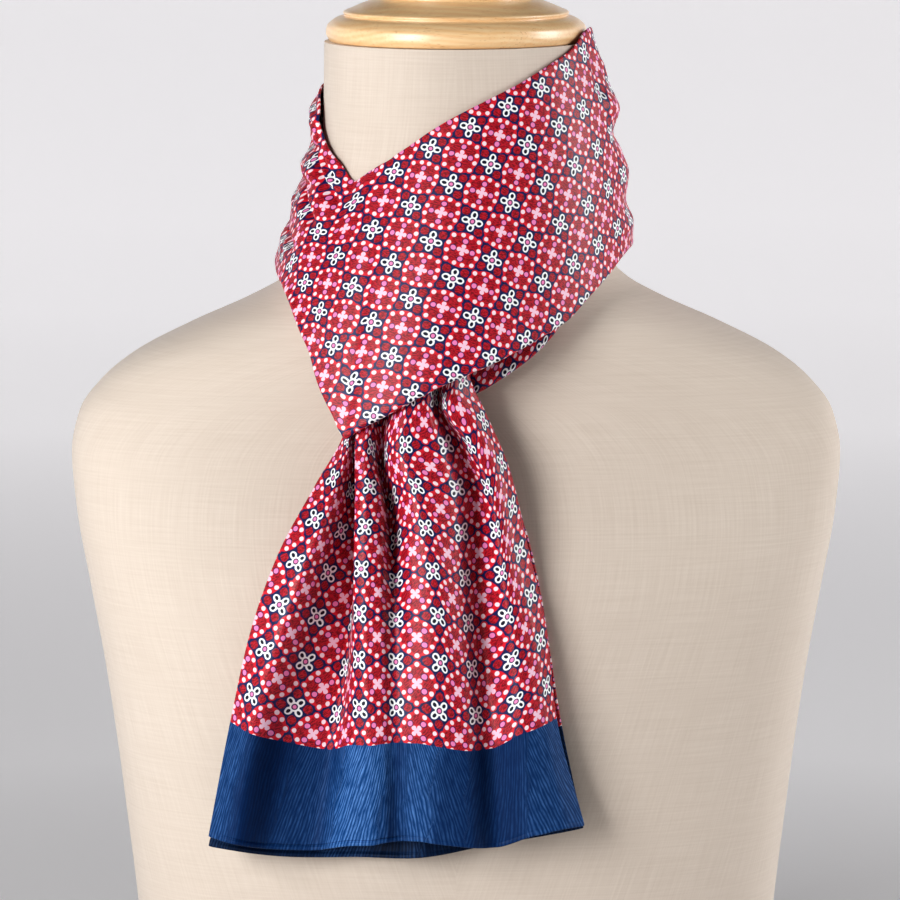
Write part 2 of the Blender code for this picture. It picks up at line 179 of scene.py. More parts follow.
# Creases pressed into the stretch round the neck, each a soft ridge (rise above 0) or trough (below
# 0) along a straight line over the cloth
WRAP_FOLDS = table(
    "angle_a height_a angle_b height_b rise width",
    # right side, where the cloth turns back round the neck
    (64, 471, 112, 468, 3.2, 6),
    (72, 457, 116, 456, -2.6, 5),
    (70, 439, 118, 441, 1.8, 6),
    (74, 425, 112, 424, -1.4, 5),
    (62, 414, 110, 413, 1.5, 6),
    (71, 500, 66, 462, -1.6, 4),
    (80, 492, 84, 474, 1.0, 3),
    (84, 448, 104, 446, -1.0, 2),
    (58, 396, 84, 419, 0.9, 4),
    # left gather: a rolled edge, then creases that run down and forward from the shoulder
    (-104, 470, -72, 461, 3.2, 6),
    (-96, 474, -77, 465, -1.5, 1.3),
    (-94, 466, -74, 460, -1.6, 1.2),
    (-90, 460, -71, 455, -1.2, 1.1),
    (-100, 453, -73, 449, -3.2, 2.4),
    (-76, 451, -50, 426, -3.4, 2.1),
    (-71, 449, -55, 433, 1.5, 1.5),
    (-66, 446, -53, 435, -1.3, 1.1),
    (-93, 444, -66, 438, 1.8, 3.4),
    (-84, 442, -66, 432, -1.4, 1.3),
    (-102, 437, -76, 433, -2.4, 2.2),
    (-78, 436, -56, 416, -3.4, 2),
    (-98, 427, -68, 422, 1.4, 3.2),
    (-88, 428, -74, 420, -1.3, 1.2),
    (-104, 422, -63, 404, -3.8, 2.2),
    (-106, 413, -68, 402, 1.2, 3.2),
    (-84, 410, -70, 401, -1.2, 1.4),
    (-62, 396, -48, 378, -0.8, 3),
    # nape
    (150, 484, 215, 470, 2.4, 6),
    (140, 466, 222, 452, -2.2, 6),
    (146, 446, 218, 436, 2, 6),
    (150, 428, 212, 421, -1.8, 5),
    (-150, 474, -96, 461, 1.3, 4),
    (-146, 455, -94, 440, -2, 4),
    (-152, 441, -98, 425, 1.6, 3.6),
    (-138, 424, -92, 411, -1.4, 3),
    (112, 470, 152, 464, -1.3, 4),
    (116, 434, 158, 442, 1.2, 4),
)

# Shares of a crease's length over which it is full and over which it fades beyond that
CREASE_FULL = 0.7
CREASE_FADE = 0.14

# Flat place on the cut cloth, in millimetres, of the upper edge and the lower fold at some angles.
# It is a first guess, eased later until its lengths match the cloth's. The ends of the table are the
# same line of cloth, turned a quarter and moved by whole repeats, so that the print meets at the nape.
PRINT_ROWS = table(
    "angle top_along top_down low_along low_down",
    (-180, 38, -258, -52, -246),
    (-90, 10, -134, -68, -116),
    (-62, -17, -94, -71, -66),
    (-52, -9, -84, -75, -33),
    (-43, -12, -70, -75.5, -7),
    (-28, -0.5, -66, -71.3, 38),
    (-12, 21.8, -66.8, -43, 41.6),
    (0, 36.7, -67.5, -20, 40.7),
    (20, 61.2, -66.3, 19.3, 41.6),
    (40, 86.3, -66, 56.8, 39.6),
    (60, 115.5, -66, 90, 35.5),
    (90, 157, -64, 140, 33),
    (180, 262, -58, 274, 32),
)
# The front keeps to the table while the chart is eased: from where to where, and how firmly
PRINT_HELD = (-56, 90)
PRINT_HOLD = 0.03
# The easing's grid and rounds, and how far each round goes beyond the mean of what the links ask
EASE_COLUMNS = 121
EASE_ROWS = 15
EASE_STEPS = 2500
EASE_REACH = 1.6

# The stretch that passes behind the hanging ends and shows below the front stretch on the right
UNDER_ROWS = table(
    WRAP_COLUMNS,
    (-38, 402, 71, 350, 88, 0, 2),
    (-25, 396, 69.5, 341, 81, 0, 2),
    (-10, 394, 69, 337, 76, 0, 2),
    (2, 395, 69, 337.5, 76.5, 0, 2),
    (9, 398, 69.5, 341.5, 78, 0, 2),
    (17, 402, 70, 348.5, 80.5, 0, 2),
    (25, 407, 71, 356.5, 82.5, 0, 2),
    (32, 412, 72, 365, 83, 0, 2),
    (38, 417, 72.5, 373.5, 82.5, 0, 2),
    (43, 421, 72.5, 379, 82, 0, 2),
)
UNDER_COLUMNS = 110
UNDER_STEPS = 50
# One of the print's flowers on its lower fold: its angle, and its step round the fold
UNDER_FLOWER_ANGLE = 17.5
UNDER_FLOWER_STEP = 2

# Hanging ends. Lengths down the cloth of each station, and its height at both sides and the middle.
TUCK, BORDER, HEM = -14, 154, 202
STATION_COLUMNS = "name length left centre right"
FRONT_STATIONS = table(
    STATION_COLUMNS,
    ("tuck", TUCK, 343, 352, 359),
    ("throat", 0, 331, 338, 347),
    ("swell", 18, 322, 319.6, 331),
    ("shoulder", 45, 300, 295.6, 305.5),
    ("middle", 78, 270, 264.6, 273),
    ("lower", 115, 233.5, 226.5, 235.5),
    ("border", BORDER, 192.5, 184.5, 195),
    ("hem", HEM, 139, 138.5, 145.5),
)
# A fold's x across and depth in front of the neck's axis at each station. printed: the cloth's flat
# place at the fold, which drifts down the length, because the folds cross the print at a slant. fall:
# how far its cloth hangs below the stations' heights, most in the valleys, where it goes a longer way.
FOLD_COLUMNS = "name across depth printed fall"
FRONT_FOLDS = table(
    FOLD_COLUMNS,
    ("left_edge", (-47, -50.5, -52, -64.5, -81, -94, -103.3, -113.6),
     (80, 82, 84.5, 96, 107.5, 111, 108, 107), 0, 0),
    ("left_lobe", (-45.5, -48.5, -49, -56, -68, -80.5, -92.5, -101),
     (81, 84.5, 91, 107, 119, 122, 118, 114.5),
     (13, 13, 14, 14, 14.5, 15, 15, 14), (1, 1, 1, 1, 1, 1, 1.5, 1.5)),
    ("lobe_flank", (-43, -46, -46.5, -50, -58.5, -68, -77.5, -85.5),
     (80.5, 83, 84.8, 94, 104, 108, 107, 106),
     (26, 26, 28, 28, 29, 29, 29, 30), (5.5, 5.5, 5.5, 5.5, 5.5, 5.5, 5, 5)),
    ("valley_0", (-41, -43, -43.5, -44.5, -46.5, -50.5, -59.5, -67.5),
     (80, 82, 83.2, 87, 93.6, 99, 102.6, 103),
     (38, 39, 40, 42, 45, 48.5, 47, 46), (8, 8, 8, 8, 8.3, 8.3, 7.5, 6)),
    ("ridge_1_left", (-40.5, -42.5, -46.5, -46.3, -46.8, -47, -46.8, -48.2),
     (83, 87, 93.4, 103, 111.5, 114, 118, 116),
     (49, 50, 54, 60, 63.5, 65, 66, 67), (0, 0, 0, 0, 0, 0.5, 1.2, 1.2)),
    ("ridge_1", (-38, -40, -42, -41, -41, -41, -38.5, -38),
     (84, 88.4, 97.6, 108, 115.5, 119, 122, 119),
     (57, 58, 62, 67.5, 71.5, 73.5, 74.5, 77), (0, 0, 0, 0, 0, 0, 0.5, 0.5)),
    ("ridge_1_right", (-35.8, -38, -38.2, -34.6, -34.3, -34.3, -33.5, -32.5),
     (84, 88.5, 95.5, 105.5, 113.8, 118.5, 121.3, 118.5),
     (65, 66, 70, 76, 80, 81, 80.5, 82.5), (2, 2, 2, 2, 1, 0, -0.3, -0.3)),
    ("valley_1", (-32.5, -34.2, -34.6, -30.6, -28.8, -28, -28, -26),
     (80.5, 83, 84.5, 90, 105, 114.5, 119, 116),
     (74, 76, 80, 84, 87.5, 88.5, 88, 89), (11.5, 11.5, 11.5, 11, 7.2, 1.7, -0.4, -0.4)),
    ("ridge_2_left", (-28, -29.4, -31.4, -24.2, -21, -19.5, -19, -18.5),
     (87, 93, 98.5, 107, 115, 119, 122.3, 119),
     (88, 90, 93, 96, 97, 97.5, 98, 97.5), (3, 3, 3, 3, 2, 0, -0.5, -0.5)),
    ("ridge_2", (-21, -23, -23.8, -17, -11.5, -9, -9, -9),
     (88.5, 96.2, 104, 112, 118.4, 122, 123.6, 121),
     (104, 105, 108.5, 108.5, 108, 107, 108, 107), (1, 1, 1, 1, 1, 1, 1.3, 1)),
    ("ridge_2_right", (-12, -13.4, -8, -1.2, 0, 2.4, 4.5, 6),
     (88.5, 96, 101.5, 107, 113.5, 118, 121.3, 119),
     (121, 122, 125, 126, 123, 122, 122.5, 122), (3.5, 3.5, 3.5, 4.5, 6, 6, 5, 4)),
    ("valley_2", (-8.2, -8.6, 0, 8.2, 10, 12.6, 16.3, 19),
     (80, 82.5, 84.5, 90, 97.5, 103.5, 111.5, 111.5),
     (133, 133, 136, 138, 138, 137.5, 136, 135), (5.5, 5.5, 5.5, 6.5, 9, 9, 7.5, 6.5)),
    ("ridge_3", (-5.2, -5.6, 6.2, 16.4, 21, 26.3, 30.5, 36),
     (86, 92.5, 96.5, 103, 110, 114.5, 118, 117),
     (149, 150, 150, 150, 149.5, 150.5, 151, 151), (7.5, 7.5, 7.5, 7.5, 7, 5, 1, 1)),
    ("ridge_3_right", (-1, -1, 9.8, 20.8, 26.5, 35, 40.5, 48),
     (84, 90, 93, 98.5, 106, 110.5, 114, 114),
     (161, 161, 161, 163, 164.5, 163.5, 163, 163), (2, 2, 2, 2, 2, 2, 0.5, 0.5)),
    ("right_edge", (4, 6.5, 14, 24.8, 32.5, 41, 46, 58.7),
     (80, 81.5, 84, 88.5, 95, 100, 104.5, 106),
     175, (0, 0, 0, 0, 0, 0, 1.5, 1.5)),
)
BACK_STATIONS = table(
    STATION_COLUMNS,
    ("tuck", TUCK, 343, 352, 359),
    ("throat", 0, 329, 338, 344),
    ("swell", 18, 320, 319, 323),
    ("middle", 78, 267, 261.5, 261),
    ("border", BORDER, 186, 177, 189),
    ("hem", HEM, 132.5, 128.5, 142),
)
BACK_FOLDS = table(
    FOLD_COLUMNS,
    ("left_edge", (-38, -42, -46, -75, -101, -113.9),
     (78, 79.6, 78.5, 89, 96.5, 98), 0, 0),
    ("ridge_a", (-30, -34, -38, -52, -70, -80),
     (78.4, 80, 79, 90, 100, 101.5), (40, 40, 40, 38, 36, 36), 0),
    ("valley_a", (-20, -24, -26, -32, -38, -48),
     (78, 79.4, 78, 89, 98, 99.5), 70, 0),
    ("ridge_b", (-12, -15, -15, -14, -13, -15),
     (78.4, 80.2, 79.2, 91, 104, 109), 105, 0),
    ("valley_b", (-4, -6, -3, 8, 17, 18),
     (78, 79.6, 78.2, 90, 100, 102), 140, 0),
    ("right_edge", (4, 6, 15.5, 36, 48, 58),
     (78, 79.2, 78.5, 90, 100, 102.5), 175, 0),
)
# The groove between the hem's two plies: its height above the edge, half-width and depth, and the
# height and number of the close rows that draw it
PLY_WIDTH = 1.7
PLY_GROOVE = 0.45
PLY_DEPTH = 1.0 * MM
PLY_REACH = 4.5
PLY_ROWS = 16
# How far the plies part at some shares of the width from the left
PLY_PARTING = ((0, 0.2), (0.04, 0.6), (0.12, 1), (0.45, 1), (0.62, 0.3), (1, 0.15))
# Where the print's lattice of flowers starts: flat place across, and height above the border
TAIL_FLOWER = (9.0, 15.6)


def smooth_curve(keys, values):
    """A smooth curve through the points that never overshoots them, along the values' last axis."""
    keys = np.array(keys, float)
    values = np.array(values, float)
    spans = np.diff(keys)
    slopes = np.diff(values, axis=-1) / spans
    before = slopes[..., :-1]
    after = slopes[..., 1:]
    weight_before = 2 * spans[1:] + spans[:-1]
    weight_after = spans[1:] + 2 * spans[:-1]
    same_way = before * after > 0
    shared = (weight_before / np.where(same_way, before, 1)
              + weight_after / np.where(same_way, after, 1))
    inner = np.where(same_way, (weight_before + weight_after) / shared, 0)
    tangents = np.concatenate([slopes[..., :1], inner, slopes[..., -1:]], axis=-1)

    def at(places):
        places = np.array(places, float)
        span = np.clip(np.searchsorted(keys, places) - 1, 0, len(spans) - 1)
        width = spans[span]
        part = (places - keys[span]) / width
        rise = values[..., span + 1] - values[..., span]
        start = tangents[..., span] * width
        end = tangents[..., span + 1] * width
        cubic = start + end - 2 * rise
        square = 3 * rise - 2 * start - end
        return values[..., span] + part * (start + part * (square + part * cubic))

    return at


def read_table(rows, places):
    """Each other column of a table at the given places of its first column, by smooth curves."""
    keys, *columns = zip(*rows)
    return [smooth_curve(keys, column)(places) for column in columns]


# Meshes

def unit(vectors):
    return vectors / np.maximum(np.linalg.norm(vectors, axis=-1, keepdims=True), 1e-12)


def run_length(points, axis=0):
    """Distance of each point from the first, along the line through them all."""
    steps = np.linalg.norm(np.diff(points, axis=axis), axis=-1)
    start = np.zeros_like(np.take(steps, [0], axis=axis))
    return np.concatenate([start, np.cumsum(steps, axis=axis)], axis=axis)


def grid_quads(rows, columns, closed):
    """Vertex numbers of each quad's corners, and their rows and columns in the flat chart.

    A closed grid's last column is its first, but has a column of its own in the chart.
    """
    row, column = np.indices((rows - 1, columns if closed else columns - 1)).reshape(2, -1, 1)
    row = row + [0, 1, 1, 0]
    column = column + [0, 0, 1, 1]
    return row * columns + column % columns, (row, column)


def border_rings(rows, columns, closed):
    """The grid's borders as rows and columns in order, each ending on its first vertex again."""
    across = np.arange(columns + 1 if closed else columns)
    top = 0 * across
    bottom = top + rows - 1
    if closed:
        return [(top, across), (bottom, across[::-1])]
    down = np.arange(1, rows)
    ring_rows = np.concatenate([top, down, bottom[1:], down[::-1] - 1])
    ring_columns = np.concatenate([across, 0 * down + columns - 1, across[::-1][1:], 0 * down])
    return [(ring_rows, ring_columns)]


def new_mesh(name, points, faces, charts):
    """A mesh of quads with the cloth's flat chart as its UV map, one value for each face corner."""
    mesh = bpy.data.meshes.new(name)
    mesh.vertices.add(len(points))
    mesh.vertices.foreach_set("co", np.asarray(points, np.float32).ravel())
    mesh.loops.add(faces.size)
    mesh.loops.foreach_set("vertex_index", faces.astype(np.int32).ravel())
    mesh.polygons.add(len(faces))
    mesh.polygons.foreach_set("loop_start", np.arange(0, faces.size, faces.shape[1], dtype=np.int32))
    layer = mesh.uv_layers.new(name="flat")
    layer.data.foreach_set("uv", charts.astype(np.float32).ravel())
    mesh.update(calc_edges=True)
    mesh.validate()
    mesh.shade_smooth()
    return mesh


def add(name, data):
    """A new object of the scene."""
    made = bpy.data.objects.new(name, data)
    bpy.context.scene.collection.objects.link(made)
    return made


def place(piece, slot, *replaced):
    """Lets a piece ride with the form and stand for its solids."""
    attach(piece, BODY)
    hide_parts(*replaced)


def turned_piece(name, outline, sides, merge, material):
    """A piece turned round its own Z axis from an outline of radii and heights, in metres."""
    mesh = bpy.data.meshes.new(name)
    mesh.from_pydata([(radius, 0, height) for radius, height in outline],
                     [(index - 1, index) for index in range(1, len(outline))], [])
    mesh.materials.append(material)
    piece = add(name, mesh)
    turned = piece.modifiers.new("turned", "SCREW")
    turned.steps = sides
    turned.render_steps = sides
    turned.use_merge_vertices = True
    turned.merge_threshold = merge
    turned.use_smooth_shade = True
    return piece


def cloth_shell(name, surface, chart, material, closed=False, flat_ends=()):
    """A piece of cloth: a closed shell behind a grid of points, with rounded edges.

    surface is rows x columns x 3, seen from outside with its rows running to the right. chart is
    the flat place of each point, with one more column where the grid is closed. flat_ends names the
    ends, top or bottom, that meet another piece and stay square.
    """
    rows, columns = surface.shape[:2]
    if closed:
        right = np.roll(surface, -1, axis=1) - np.roll(surface, 1, axis=1)
    else:
        right = np.gradient(surface, axis=1)
    down = np.gradient(surface, axis=0)
    normal = unit(np.cross(down, right))
    right = unit(right)
    down = unit(down)
    points = [surface.reshape(-1, 3), (surface - CLOTH_WALL * normal).reshape(-1, 3)]
    quads, corners = grid_quads(rows, columns, closed)
    faces = [quads, (quads + rows * columns)[:, ::-1]]
    charts = [chart[corners], chart[corners][:, ::-1]]
    start = 2 * rows * columns
    for ring in border_rings(rows, columns, closed):
        row = ring[0][:-1]
        column = ring[1][:-1] % columns
        at_top = (row == 0) * (0.0 if "top" in flat_ends else 1.0)
        at_bottom = (row == rows - 1) * (0.0 if "bottom" in flat_ends else 1.0)
        outward = down[row, column] * (at_bottom - at_top)[:, None]
        if not closed:
            side = (column == columns - 1) * 1.0 - (column == 0)
            outward = outward + right[row, column] * side[:, None]
        outward = outward / np.maximum(np.linalg.norm(outward, axis=1, keepdims=True), 1)
        own_normal = normal[row, column]
        middle = surface[row, column] - CLOTH_WALL / 2 * own_normal
        ids = [row * columns + column]
        for step in range(1, RIM_STEPS):
            swing = math.pi * step / RIM_STEPS
            arm = math.cos(swing) * own_normal + math.sin(swing) * outward
            points.append(middle + CLOTH_WALL / 2 * arm)
            ids.append(start + np.arange(len(row)))
            start += len(row)
        ids.append(ids[0] + rows * columns)
        first = chart[ring][:-1]
        second = chart[ring][1:]
        for near, far in zip(ids, ids[1:]):
            faces.append(np.stack([near, np.roll(near, -1), np.roll(far, -1), far], axis=1))
            charts.append(np.stack([first, second, second, first], axis=1))
    mesh = new_mesh(name, np.concatenate(points), np.concatenate(faces), np.concatenate(charts))
    mesh.set_sharp_from_angle(angle=math.radians(60))
    mesh.materials.append(material)
    return add(name, mesh)


# Materials

def colour(red, green, blue):
    """A shader's colour from 0-255 values as they look on a screen."""
    def linear(value):
        share = value / 255
        return share / 12.92 if share <= 0.04045 else ((share + 0.055) / 1.055) ** 2.4
    return linear(red), linear(green), linear(blue), 1.0


class Field:
    """A number that varies over a surface, with arithmetic that adds Math nodes to its material."""

    def __init__(self, tree, socket):
        self.tree = tree
        self.socket = socket

    def math(self, operation, *others, clamp=False):
        node = self.tree.nodes.new("ShaderNodeMath")
        node.operation = operation
        node.use_clamp = clamp
        for slot, value in zip(node.inputs, (self, *others)):
            if isinstance(value, Field):
                self.tree.links.new(value.socket, slot)
            else:
                slot.default_value = value
        return Field(self.tree, node.outputs[0])

    def __add__(self, other):
        return self.math("ADD", other)

    def __sub__(self, other):
        return self.math("SUBTRACT", other)

    def __mul__(self, other):
        return self.math("MULTIPLY", other)

    def absolute(self):
        return self.math("ABSOLUTE")

    def lower(self, other):
        return self.math("MINIMUM", other)

    def higher(self, other):
        return self.math("MAXIMUM", other)

    def ramp(self, place, steepness, value):
        """A straight rise that passes the value at the place, kept between 0 and 1."""
        return self.math("MULTIPLY_ADD", steepness, value - place * steepness, clamp=True)

    def waves(self, length, shift=0.0):
        """Sine waves of that length, moved along by a shift in radians."""
        return self.math("MULTIPLY_ADD", 2 * math.pi / length, shift).math("SINE")

    def inside(self, soft):
        """1 where a signed distance is below 0 and 0 where it is above, with a soft edge."""
        return self.ramp(0.0, -1 / soft, 0.5)


def distance(x, y, centre_x=0.0, centre_y=0.0):
    across = x - centre_x if centre_x else x
    up = y - centre_y if centre_y else y
    return across.math("MULTIPLY_ADD", across, up * up).math("SQRT")


class Material:
    """A Principled material under construction."""

    def __init__(self, name, **settings):
        self.material = bpy.data.materials.new(name)
        self.material.use_nodes = True
        self.tree = self.material.node_tree
        self.shader = self.tree.nodes["Principled BSDF"]
        self.fill(self.shader, **settings)

    def set(self, slot, value):
        """Gives a node's input a field, another node's output, or a plain number or colour."""
        source = value.socket if isinstance(value, Field) else value
        if isinstance(source, bpy.types.NodeSocket):
            self.tree.links.new(source, slot)
        else:
            slot.default_value = source

    def fill(self, node, **values):
        """Sets a node's inputs by their names, with _ for a space."""
        for name, value in values.items():
            self.set(node.inputs[name.replace("_", " ")], value)

    def node(self, kind, **inputs):
        node = self.tree.nodes.new(kind)
        self.fill(node, **inputs)
        return node

    def parts(self, vector):
        """The three numbers of a vector, as fields."""
        split = self.node("ShaderNodeSeparateXYZ", Vector=vector)
        return [Field(self.tree, part) for part in split.outputs]

    def flat_place(self):
        """The cloth's flat place across and down, in millimetres."""
        chart = self.node("ShaderNodeUVMap")
        chart.uv_map = "flat"
        return self.parts(chart.outputs["UV"])[:2]

    def object_place(self):
        return self.parts(self.node("ShaderNodeTexCoord").outputs["Object"])

    def vector(self, x, y, z):
        return self.node("ShaderNodeCombineXYZ", X=x, Y=y, Z=z).outputs[0]

    def noise(self, vector, scale=1.0, detail=2.0, roughness=0.5):
        texture = self.node("ShaderNodeTexNoise", Vector=vector, Scale=scale, Detail=detail,
                            Roughness=roughness)
        return Field(self.tree, texture.outputs[0])

    def mix(self, below, above, mask):
        """One colour over another where the mask is 1."""
        node = self.node("ShaderNodeMix")
        node.data_type = "RGBA"
        factor, _, _, _, _, _, first, second = node.inputs[:8]
        self.set(factor, mask)
        self.set(first, below)
        self.set(second, above)
        return node.outputs[2]

    def base_colour(self, value):
        self.fill(self.shader, Base_Color=value)

    def bump(self, height, depth, strength):
        """Relief of that depth, in metres, on top of any relief that the material has already."""
        node = self.node("ShaderNodeBump", Strength=strength, Distance=depth, Height=height)
        for link in self.shader.inputs["Normal"].links:
            self.fill(node, Normal=link.from_socket)
        self.fill(self.shader, Normal=node.outputs[0])

    def crumple(self, strength):
        """Shallow soft dents all over a cloth."""
        dents = self.noise(self.vector(*self.object_place()), scale=110.0)
        self.bump(dents, 0.9 * MM, strength)


NAVY_GROUND = colour(18, 38, 98)
NAVY_DEEP = colour(12, 26, 64)
# Pale blue painted on the navy band's strokes as a painted highlight
NAVY_PAINTED_HIGHLIGHT = colour(112, 160, 224)
MEDALLION_RED = colour(218, 32, 50)
PETAL_RED = colour(196, 34, 52)
HATCH_RED = colour(108, 8, 24)
DOT_WHITE = colour(250, 228, 235)
DOT_PINK = colour(240, 138, 192)
OUTLINE_PURPLE = colour(52, 16, 70)
CLOVER_PINK = colour(248, 208, 226)
FLOWER_WHITE = colour(250, 252, 252)
FLOWER_NAVY = colour(6, 12, 40)

# Sizes of the print, in millimetres. A place is a distance from the motif's middle.
PRINT_SOFT = 0.16
PRINT_WOBBLE = 0.5
TWILL_PITCH = 0.9
MEDALLION_RADIUS = 8.3
SCALLOP_PLACE = 8.0
SCALLOP_RADIUS = 1.72
RIM_DOTS = ((8.1, 0.0), (6.1, 3.55))
RIM_DOT_RADIUS = 1.03
PINK_DOT_PLACE = 3.08
PINK_DOT_RADIUS = 1.16
PINK_DOT_OUTLINE = 1.55
CLOVER_PLACE = 1.22
CLOVER_RADIUS = 1.04
CLOVER_MIDDLE = 1.1
SHIELD_PLACE = 5.75
SHIELD_RADIUS = 2.0
SHIELD_POWER = 1.6
FLOWER_RADIUS = 2.1
HEART_RADIUS = 0.85
HEART_OUTLINE = 1.35
MEDALLION_PETAL, FLOWER_PETAL, FLOWER_HOLE = table(
    "place length width soft",
    (4.95, 2.45, 2.6, 0.6),
    (3.05, 1.9, 1.62, PRINT_SOFT),
    (3.2, 1.02, 0.74, 0.12),
)


def printed_silk():
    """Silk twill with a foulard print: a medallion and a small flower in turn on a navy net.

    The flower stands at the corners of a square repeat and the medallion at its middle. Both are
    the same in each eighth of a turn, so each motif is drawn once in a folded corner of the repeat.
    """
    made = Material("printed_silk", Roughness=0.45, Sheen_Weight=0.05, Sheen_Roughness=0.3,
                    Specular_IOR_Level=0.35)
    across, down = made.flat_place()
    wobble_across = made.noise(made.vector(across, down, 3.0), scale=0.35, detail=1.0) - 0.5
    across = across + wobble_across * PRINT_WOBBLE
    wobble_down = made.noise(made.vector(down, across, 8.0), scale=0.35, detail=1.0) - 0.5
    down = down + wobble_down * PRINT_WOBBLE
    half = PRINT_REPEAT / 2
    flower_x = across.math("PINGPONG", half)
    flower_y = down.math("PINGPONG", half)
    disc_x = flower_x.math("MULTIPLY_ADD", -1.0, half)
    disc_y = flower_y.math("MULTIPLY_ADD", -1.0, half)
    disc_far = disc_x.higher(disc_y)
    disc_near = disc_x.lower(disc_y)
    flower_far = flower_x.higher(flower_y)
    flower_near = flower_x.lower(flower_y)
    slant_far = (flower_x + flower_y) * math.sqrt(0.5)
    slant_near = (flower_x - flower_y).absolute() * math.sqrt(0.5)

    grain = made.noise(made.vector((across + down) * 0.45, (across - down) * 1.3, 0.0),
                       roughness=0.6)
    hatch = grain.ramp(0.5, 9.0, 0.45) * 0.9
    hatched_red = made.mix(PETAL_RED, HATCH_RED, hatch)
    blotch = made.noise(made.vector(across, down, 1.0), scale=0.9)

    def disc(far, radius, soft=PRINT_SOFT):
        """A disc from the distance to its middle."""
        return (far - radius).inside(soft)

    def lobe(along, aside, shape):
        """An ellipse on the motif's axis, with its edge's softness still in millimetres."""
        scaled = distance((along - shape.place) * (1 / shape.length), aside * (1 / shape.width))
        return disc(scaled, 1.0, shape.soft / min(shape.length, shape.width))

    middle = distance(disc_far, disc_near)
    scallops = distance(disc_far, disc_near, SCALLOP_PLACE) - SCALLOP_RADIUS
    first_dot, second_dot = (disc(distance(disc_far, disc_near, *place), RIM_DOT_RADIUS)
                             for place in RIM_DOTS)
    dot = distance(disc_x, disc_y, PINK_DOT_PLACE, PINK_DOT_PLACE)
    leaf = disc(distance(disc_x, disc_y, CLOVER_PLACE, CLOVER_PLACE), CLOVER_RADIUS)
    shield_x = (flower_far - SHIELD_PLACE).absolute().math("POWER", SHIELD_POWER)
    shield_y = flower_near.math("POWER", SHIELD_POWER)
    shield = (shield_x + shield_y).math("POWER", 1 / SHIELD_POWER)
    heart = distance(flower_x, flower_y)
    flower = lobe(slant_far, slant_near, FLOWER_PETAL).higher(disc(heart, FLOWER_RADIUS))
    layers = (
        (NAVY_DEEP, blotch.ramp(0.4, 3.0, 0.0)),
        (MEDALLION_RED, (middle - MEDALLION_RADIUS).lower(scallops).inside(PRINT_SOFT)),
        (hatched_red, lobe(disc_far, disc_near, MEDALLION_PETAL)),
        (DOT_WHITE, first_dot.higher(second_dot)),
        (OUTLINE_PURPLE, disc(dot, PINK_DOT_OUTLINE)),
        (DOT_PINK, disc(dot, PINK_DOT_RADIUS)),
        (CLOVER_PINK, leaf.higher(disc(middle, CLOVER_MIDDLE))),
        (hatched_red, disc(shield, SHIELD_RADIUS)),
        (FLOWER_WHITE, flower),
        (FLOWER_NAVY, lobe(slant_far, slant_near, FLOWER_HOLE)),
        (OUTLINE_PURPLE, disc(heart, HEART_OUTLINE)),
        (DOT_PINK, disc(heart, HEART_RADIUS)),
    )
    tint = NAVY_GROUND
    for above, mask in layers:
        tint = made.mix(tint, above, mask)
    made.base_colour(tint)
    made.crumple(0.35)
    made.bump((across + down).waves(TWILL_PITCH), 0.02 * MM, 0.5)
    return made.material


# Regions of brushed strokes from left to right, on the flat chart: where each starts across it, the
# point above the border from which its strokes fan out, and how much painted sheen makes it lighter
STROKE_FANS = table(
    "start across up shine",
    (-30, 44, 260, 0.5),
    (8, 34, 200, 0.0),
    (27, 60, 130, 0.3),
    (53, 96, 95, 1.25),
    (78, 84, 60, 0.2),
    (89, 72, 52, 0.85),
    (102, 78, 60, 0.25),
    (118, 152, 90, 0.1),
    (146, 112, 80, 0.5),
)
STROKE_PITCH = 1.15
# How far the strokes drift, in radians, and what is added to up where they have their pitch
STROKE_DRIFT = 14
FAN_REACH = 24


def navy_silk(name, dark, light, painted_highlight):
    """Navy silk with long fine brushed strokes that fan out from several places above the band, with
    some regions painted lighter as painted sheen and a painted highlight on their strokes.
    """
    made = Material(name, Roughness=0.45, Specular_IOR_Level=0.1)
    across, up = made.flat_place()
    waver = made.noise(made.vector(across, up, 5.0), scale=0.08, detail=1.0)
    place = across + (waver - 0.5) * 10 - up * 0.12
    first = STROKE_FANS[0]
    fan_across, fan_up, shine = first.across, first.up, first.shine
    for before, fan in zip(STROKE_FANS, STROKE_FANS[1:]):
        inside = place.ramp(fan.start, 1.2, 0.5)
        fan_across = inside.math("MULTIPLY_ADD", fan.across - before.across, fan_across)
        fan_up = inside.math("MULTIPLY_ADD", fan.up - before.up, fan_up)
        shine = place.ramp(fan.start, 0.1, 0.5).math("MULTIPLY_ADD", fan.shine - before.shine, shine)
    from_x = across - fan_across
    from_y = fan_up - up
    turn = from_x.math("ARCTAN2", from_y) * (fan_up + FAN_REACH)
    reach = distance(from_x, from_y)
    drift = made.noise(made.vector(turn * 0.3, reach * 0.05, 2.0))
    strokes = turn.waves(STROKE_PITCH, drift * STROKE_DRIFT) * 0.5
    broken = made.noise(made.vector(turn * 0.9, reach * 0.16, 7.0), roughness=0.6)
    line = (strokes + 0.5) * broken.ramp(0.5, 2.5, 0.6)
    # The stroke lines are the cloth's own lighter threads; each region's share lightens the colour as
    # painted sheen
    tint = made.mix(dark, light, line * 0.25 + shine * 0.55)
    # Painted highlight: pale gloss blue on the strokes of the regions with painted sheen
    made.base_colour(made.mix(tint, NAVY_PAINTED_HIGHLIGHT, line * shine * painted_highlight))
    made.bump(strokes, 0.12 * MM, 0.5)
    made.crumple(0.3)
    return made.material


